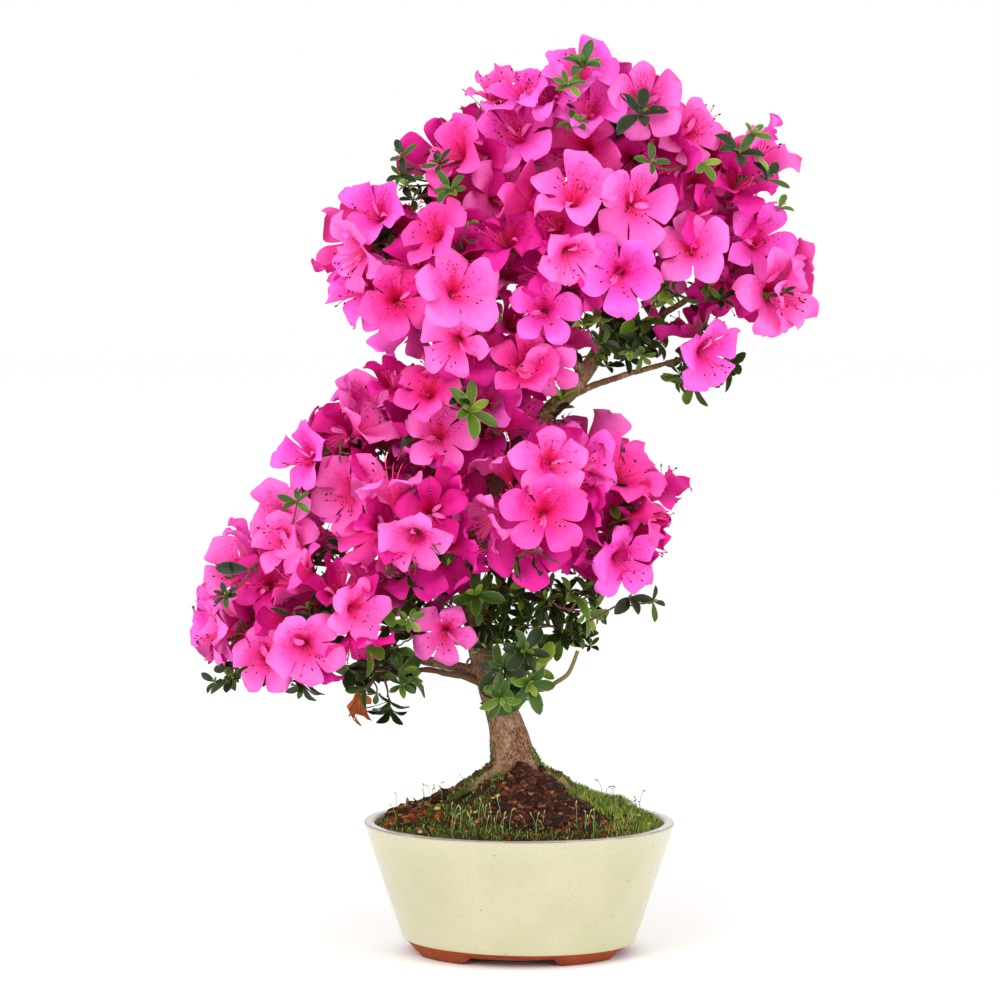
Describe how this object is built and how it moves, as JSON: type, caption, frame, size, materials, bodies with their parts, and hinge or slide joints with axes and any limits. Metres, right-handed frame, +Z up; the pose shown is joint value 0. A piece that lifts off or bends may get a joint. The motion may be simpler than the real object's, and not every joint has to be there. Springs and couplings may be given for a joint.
{
  "type": "potted azalea bonsai",
  "caption": "Leaning azalea bonsai in full pink flower, with a tapering trunk, spreading boughs and small dark leaves, on a mossy soil mound in an oval cream-glazed pot on low feet.",
  "frame": {"origin": "the point on the ground under the middle of the whole plant's box, level with the undersides of the pot's feet", "axes": "+Z up; -Y towards the visitor's side, from which the trunk leans to the left and back to the right; +X to the right"},
  "size_m": [0.3418, 0.1954, 0.5081],
  "materials": {
    "glaze": "satin",
    "soil": "matte",
    "bark": "matte",
    "blossom": "matte",
    "leaves": "satin"
  },
  "bodies": {
    "root": {"pot": "glaze", "soil_mound": "soil", "trunk": "bark", "bough_upper_left": "bark", "bough_far_left": "bark", "bough_upper_front": "bark", "bough_upper_front_left": "bark", "bough_upper_front_right": "bark", "bough_upper_under": "bark", "bough_upper_right": "bark", "bough_right": "bark", "bough_middle_right": "bark", "bough_right_spray": "bark", "bough_lower_top": "bark", "bough_left_shoulder": "bark", "bough_left": "bark", "bough_far_left_low": "bark", "bough_front_left": "bark", "bough_front_centre": "bark", "bough_front_right": "bark", "bough_right_shoulder": "bark", "bough_lower_right": "bark", "bough_under_right": "bark", "bough_front_tuft": "bark", "bough_under_left": "bark", "bough_lower_back": "bark", "foliage_apex": "blossom", "foliage_upper_left": "blossom", "foliage_far_left": "blossom", "foliage_upper_front": "blossom", "foliage_upper_front_right": "blossom", "foliage_upper_front_left": "blossom", "foliage_upper_under": "blossom", "foliage_upper_right": "blossom", "foliage_right": "blossom", "foliage_middle_right": "leaves", "foliage_right_spray": "blossom", "foliage_upper_back": "blossom", "foliage_lower_top": "blossom", "foliage_left_shoulder": "blossom", "foliage_left": "blossom", "foliage_far_left_low": "blossom", "foliage_front_left": "blossom", "foliage_front_centre": "blossom", "foliage_front_right": "blossom", "foliage_right_shoulder": "blossom", "foliage_lower_right": "blossom", "foliage_under_centre": "leaves", "foliage_under_right": "leaves", "foliage_front_tuft": "leaves", "foliage_under_left": "leaves", "foliage_lower_back": "blossom"}
  },
  "joints": []
}
